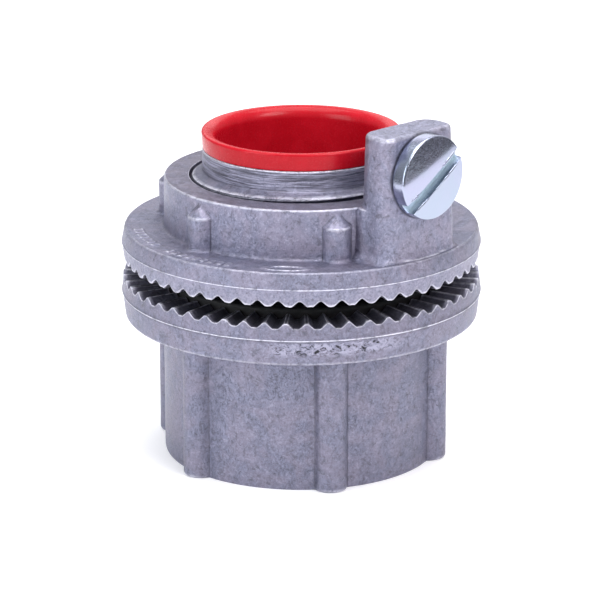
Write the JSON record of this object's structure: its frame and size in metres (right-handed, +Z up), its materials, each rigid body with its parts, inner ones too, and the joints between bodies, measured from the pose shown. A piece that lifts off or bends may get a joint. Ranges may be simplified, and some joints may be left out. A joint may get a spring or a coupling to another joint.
{
  "type": "watertight conduit hub with bonding locknut",
  "caption": "Threaded hub that seals rigid conduit to an enclosure wall: ribbed socket body, toothed clamping locknut, bonding screw and insulated throat.",
  "frame": {"origin": "centre of the open lower end of the hub body, on the conduit's axis", "axes": "+Z up the hub's axis from the conduit socket to the throat; the bonding lug stands 44 degrees from -Y towards +X"},
  "size_m": [0.044, 0.044, 0.0435],
  "materials": {
    "hub_casting": "as-cast zinc alloy, satin grey with flow marks",
    "locknut_casting": "as-cast zinc alloy, satin grey with flow marks",
    "throat_plastic": "glossy moulded plastic",
    "seal_rubber": "matt black elastomer",
    "plated_steel": "bright zinc plate with a faint blue tint"
  },
  "bodies": {
    "hub": {"hub_body": "hub_casting", "insulating_throat": "throat_plastic"},
    "seal": {"sealing_ring": "seal_rubber"},
    "locknut": {"locknut": "locknut_casting"},
    "screw": {"bonding_screw": "plated_steel"}
  },
  "joints": [
    {"name": "locknut_turn", "type": "hinge", "parent": "hub", "child": "seal", "pos_m": [0, 0, 0.02434], "axis": [0, 0, 1], "range_deg": [-350, 1440]},
    {"name": "locknut_travel", "type": "slide", "parent": "seal", "child": "locknut", "axis": [0, 0, 1], "range_m": [-0.0018, 0.0073]},
    {"name": "screw_travel", "type": "slide", "parent": "locknut", "child": "screw", "axis": [0.6947, -0.7193, 0], "range_m": [0, 0.00397]}
  ],
  "couplings": [
    {"joint": "locknut_travel", "follows": "locknut_turn", "m_per_rad": 0.00028875}
  ]
}
